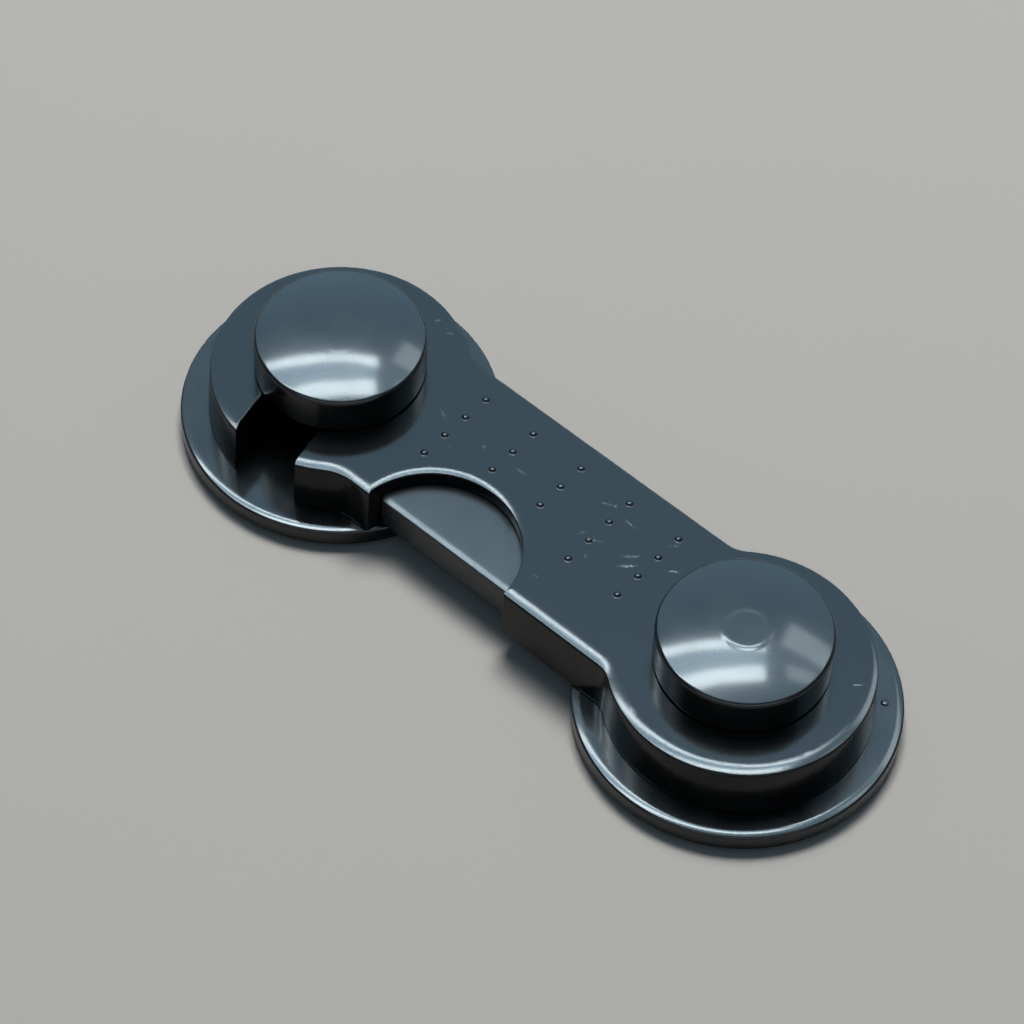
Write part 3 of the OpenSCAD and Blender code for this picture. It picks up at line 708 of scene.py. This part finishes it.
class LOCK_OT_plate_screws(bpy.types.Operator):
    """Make the three countersunk screws of the underplate, one in each of three corners of their box"""

    bl_idname = "lock.plate_screws"
    bl_label = "Underplate screws"

    def execute(self, context):
        sizes, look = context.scene.lock_sizes, context.scene.lock_finish
        steel = shared("zinc_plate", plated_steel, tuple(look.steel))
        low, high = span("underplate_screws")
        head, shank = sizes.plate_head / 2, sizes.plate_shank / 2
        seat = low[2] + head - shank
        places = ((low[0] + head, high[1] - head), (high[0] - head, high[1] - head), (high[0] - head, low[1] + head))
        screws = [screw(place, head, shank, high[2], low[2], seat, sizes.pitch, True) for place in places]
        piece("underplate_screws_steel", gathered(*screws), steel, "arm", "steel", "underplate_screws")
        return {"FINISHED"}


class LOCK_OT_mount_screws(bpy.types.Operator):
    """Make the two screws that hold the knobs from under the discs"""

    bl_idname = "lock.mount_screws"
    bl_label = "Mount screws"

    def execute(self, context):
        sizes, look = context.scene.lock_sizes, context.scene.lock_finish
        steel = shared("zinc_plate", plated_steel, tuple(look.steel))
        for node in ("pivot_screw", "catch_screw"):
            low, high = span(node)
            head, seat = (high - low)[0] / 2, low[2] + HEAD_HEIGHT
            shape = screw(axis_of(node), head, sizes.shank / 2, high[2], low[2], seat, sizes.pitch * COARSE, False)
            piece(node + "_steel", shape, steel, "mounts", "steel", node)
        return {"FINISHED"}


class LOCK_OT_spring(bpy.types.Operator):
    """Wind the return spring"""

    bl_idname = "lock.spring"
    bl_label = "Return spring"

    def execute(self, context):
        """The wire's path at turn s is (r cos 2 pi s, y, r sin 2 pi s).

        y rises by one wire a turn over the dead stretch at each end, which closes it, and evenly between them.
        """
        sizes, look = context.scene.lock_sizes, context.scene.lock_finish
        low, high = span("latch_spring")
        middle, wire = (low + high) / 2, sizes.wire
        radius = (high - low)[0] / 2 - wire / 2
        per_turn, dead = 40, 0.8
        turn = np.linspace(0, sizes.turns, sizes.turns * per_turn + 1)
        free = (high - low)[1] - wire * (1 + 2 * dead)
        ends = np.minimum(turn, dead) + np.maximum(turn - sizes.turns + dead, 0)
        y = low[1] + wire / 2 + wire * ends + free * np.clip((turn - dead) / (sizes.turns - 2 * dead), 0, 1)
        a = 2 * np.pi * turn
        across = np.stack([np.cos(a), np.zeros_like(a), np.sin(a)], axis=-1)
        path = np.stack([middle[0] + radius * np.cos(a), y, middle[2] + radius * np.sin(a)], axis=-1)
        along = np.repeat(np.array([[0.0, 1.0, 0.0]]), len(a), axis=0)
        steel = shared("zinc_plate", plated_steel, tuple(look.steel))
        made = piece("latch_spring_coil", swept(path, across, along, wire / 2), steel, "arm", "steel", "latch_spring")
        travel = next(j for j in frame["joints"] if j["name"] == "button_press")["range_m"][1]
        1 - travel / (high - low)[1]
        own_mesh(made)
        return {"FINISHED"}


class LOCK_OT_arm(bpy.types.Operator):
    """Dress the arm's housing and its underplate in glossy plastic, with the scuffs on its top"""

    bl_idname = "lock.arm"
    bl_label = "Arm"

    def execute(self, context):
        sizes, look = context.scene.lock_sizes, context.scene.lock_finish
        roof = span("arm_shell")[1][2] - sizes.pip
        gloss = shared("arm_gloss", moulded_plastic, tuple(look.arm), look.arm_gloss, grain=0.25, haze=0.2,
                       shine=0.1, scuffs=SCUFFS, edge=SOFT, crown=(sizes.crown, roof))
        satin = shared("underplate_satin", moulded_plastic, tuple(look.arm), look.arm_gloss + 0.15,
                       grain=0.5, haze=0.5, shine=0.3)
        dress("arm_shell", gloss)
        dress("arm_underplate", satin)
        return {"FINISHED"}


class LOCK_OT_button(bpy.types.Operator):
    """Dress the button and the bolt in satin plastic"""

    bl_idname = "lock.button"
    bl_label = "Button and bolt"

    def execute(self, context):
        sizes, look = context.scene.lock_sizes, context.scene.lock_finish
        roof = span("release_button")[1][2]
        satin = shared("button_satin", moulded_plastic, tuple(look.button), look.button_gloss, grain=0.5, haze=0.5,
                       shine=0.45, edge=SOFT, crown=(sizes.crown, roof))
        for node in ("release_button", "latch_bolt"):
            dress(node, satin)
        return {"FINISHED"}


# Stage

def lamp(name, place, turn, size, radiance, colour, gloss=True):
    """A flat light of that radiance along the -Z of its turn. It shows in gloss alone, or else lights matt alone."""
    light = bpy.data.lights.new(name, "AREA")
    light.shape = "RECTANGLE"
    light.size, light.size_y = size
    light.energy = radiance * np.pi * size[0] * size[1]
    light.color = colour
    made = bpy.data.objects.new(name, light)
    made.matrix_world = Matrix.Translation(Vector(place)) @ turn
    made.visible_glossy = gloss
    made.visible_diffuse = not gloss
    bpy.context.scene.collection.objects.link(made)


def overhead(name, right, near, wide, deep, radiance, colour, skew=0.0, height=1.3, gloss=True):
    """A light on the ceiling, facing down.

    right and near give its middle and wide and deep its size, as shares of its height, measured to the camera's
    right and towards the camera. skew turns it, in degrees.
    """
    place = (*((RIGHT * right + NEAR * near) * height), height)
    turn = Matrix.Rotation(np.arctan2(RIGHT[1], RIGHT[0]) + np.radians(skew), 4, "Z")
    lamp(name, place, turn, (wide * height, deep * height), radiance, colour, gloss)


def standing(name, right, near, rise, wide, high, radiance, colour, distance=1.6):
    """A light that stands round the object and faces it, from the direction right, near and rise."""
    ahead = Vector((*(RIGHT * right + NEAR * near), rise)).normalized()
    turn = ahead.to_track_quat("Z", "Y").to_matrix().to_4x4()
    lamp(name, ahead * distance, turn, (wide, high), radiance, colour)


class LOCK_OT_stage(bpy.types.Operator):
    """Set up the pale floor, the soft lights and the camera"""

    bl_idname = "lock.stage"
    bl_label = "Floor, lights and camera"

    def execute(self, context):
        stage = context.scene.lock_stage
        half, level = 1.5, CAD_BOX[0][2]
        corners = [(-half, -half, level), (half, -half, level), (half, half, level), (-half, half, level)]
        mesh = bpy.data.meshes.new("floor")
        mesh.from_pydata(corners, [], [(0, 1, 2, 3)])
        floor = bpy.data.objects.new("floor", mesh)
        context.scene.collection.objects.link(floor)
        mesh.materials.append(floor_paint("floor_paint", tuple(stage.floor)))

        for name, right, near, wide, deep, share, colour, skew in CEILING:
            overhead(name, right, near, wide, deep, stage.strips * share, colour, skew)
        overhead("glow", 0.0, -0.22, 1.6, 0.66, stage.glow, (0.50, 0.80, 1.0), height=1.5)
        overhead("key", 0.0, -0.38, 0.45, 0.35, stage.key, WARM, gloss=False)
        standing("panel_far", 0.0, -0.80, 0.62, 4.0, 1.7, 2.3, (0.43, 0.75, 1.0), 2.0)
        standing("panel_front", 0.0, 0.80, 0.50, 4.0, 1.5, 1.2, (0.80, 0.92, 1.0), 2.2)

        world = bpy.data.worlds.new("studio")
        world.use_nodes = True
        back = world.node_tree.nodes["Background"]
        back.inputs["Color"].default_value = (*SKY, 1.0)
        back.inputs["Strength"].default_value = stage.sky
        context.scene.world = world

        camera = bpy.data.cameras.new("camera")
        camera.lens = stage.lens
        camera.sensor_width = 36.0
        camera.clip_start = 0.01
        eye = bpy.data.objects.new("camera", camera)
        ahead = Vector(AHEAD).normalized()
        right = Vector(ASIDE)
        right = (right - ahead * right.dot(ahead)).normalized()
        up = right.cross(ahead)
        axes = Matrix((right, up, -ahead)).transposed().to_4x4()
        eye.matrix_world = Matrix.Translation(Vector(EYE)) @ axes
        context.scene.collection.objects.link(eye)
        context.scene.camera = eye
        context.scene.view_settings.view_transform = "Standard"
        return {"FINISHED"}


class LOCK_PT_panel(bpy.types.Panel):
    """The lock's settings and steps"""

    bl_idname = "LOCK_PT_panel"
    bl_label = "Safety Lock"
    bl_space_type = "VIEW_3D"
    bl_region_type = "UI"
    bl_category = "Safety Lock"

    def draw(self, context):
        scene = context.scene
        for group in (scene.lock_sizes, scene.lock_finish, scene.lock_stage):
            for key in group.bl_rna.properties.keys():
                if key not in ("rna_type", "name"):
                    self.layout.prop(group, key)
        for step in STEPS:
            self.layout.operator(step.bl_idname)


STEPS = (LOCK_OT_knobs, LOCK_OT_discs, LOCK_OT_pads, LOCK_OT_plate_screws, LOCK_OT_mount_screws,
         LOCK_OT_spring, LOCK_OT_arm, LOCK_OT_button, LOCK_OT_stage)
CLASSES = (LockSizes, LockFinish, LockStage, *STEPS, LOCK_PT_panel)


def register():
    for item in CLASSES:
        bpy.utils.register_class(item)
    bpy.types.Scene.lock_sizes = PointerProperty(type=LockSizes)
    bpy.types.Scene.lock_finish = PointerProperty(type=LockFinish)
    bpy.types.Scene.lock_stage = PointerProperty(type=LockStage)


def unregister():
    del bpy.types.Scene.lock_stage
    del bpy.types.Scene.lock_finish
    del bpy.types.Scene.lock_sizes
    for item in reversed(CLASSES):
        bpy.utils.unregister_class(item)


def main():
    register()
    for step in STEPS:
        group, action = step.bl_idname.split(".")
        getattr(getattr(bpy.ops, group), action)()


if __name__ == "__main__":
    main()
